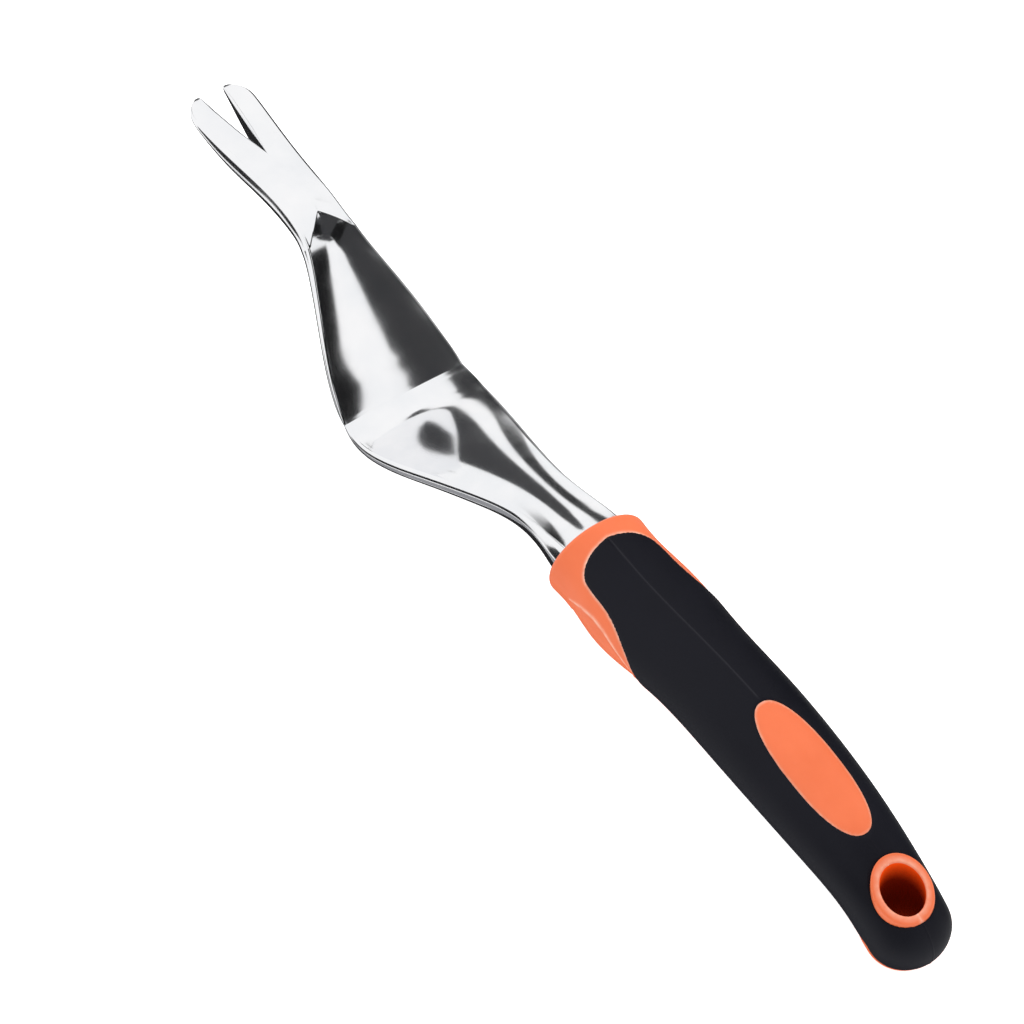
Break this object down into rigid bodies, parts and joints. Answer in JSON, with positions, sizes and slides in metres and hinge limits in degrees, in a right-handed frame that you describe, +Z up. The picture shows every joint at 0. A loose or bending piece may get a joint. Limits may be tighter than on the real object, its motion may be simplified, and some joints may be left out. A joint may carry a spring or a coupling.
{
  "type": "hand weeder",
  "caption": "Hand weeder with a forked V-notch tip, a spoon-shaped fulcrum belly in polished cast aluminium, and a curved two-material handle with a soft grip and a hanging hole",
  "frame": {"origin": "on the ground, under the middle of the tool's length and on its middle plane, as it lies on its belly and its heel", "axes": "+X points from the butt of the handle to the tips of the fork, +Y to the left, +Z up"},
  "size_m": [0.3162, 0.0394, 0.0496],
  "materials": {
    "cast_aluminium": "bright polished casting with faint lengthwise polishing lines and soft edges",
    "orange_plastic": "satin moulded plastic, coral orange, with a fine parting line",
    "black_rubber": "smooth matt thermoplastic rubber, near black, with a fine parting line"
  },
  "bodies": {
    "root": {"weeder_head": "cast_aluminium", "handle_core": "orange_plastic", "soft_grip": "black_rubber"}
  },
  "joints": []
}
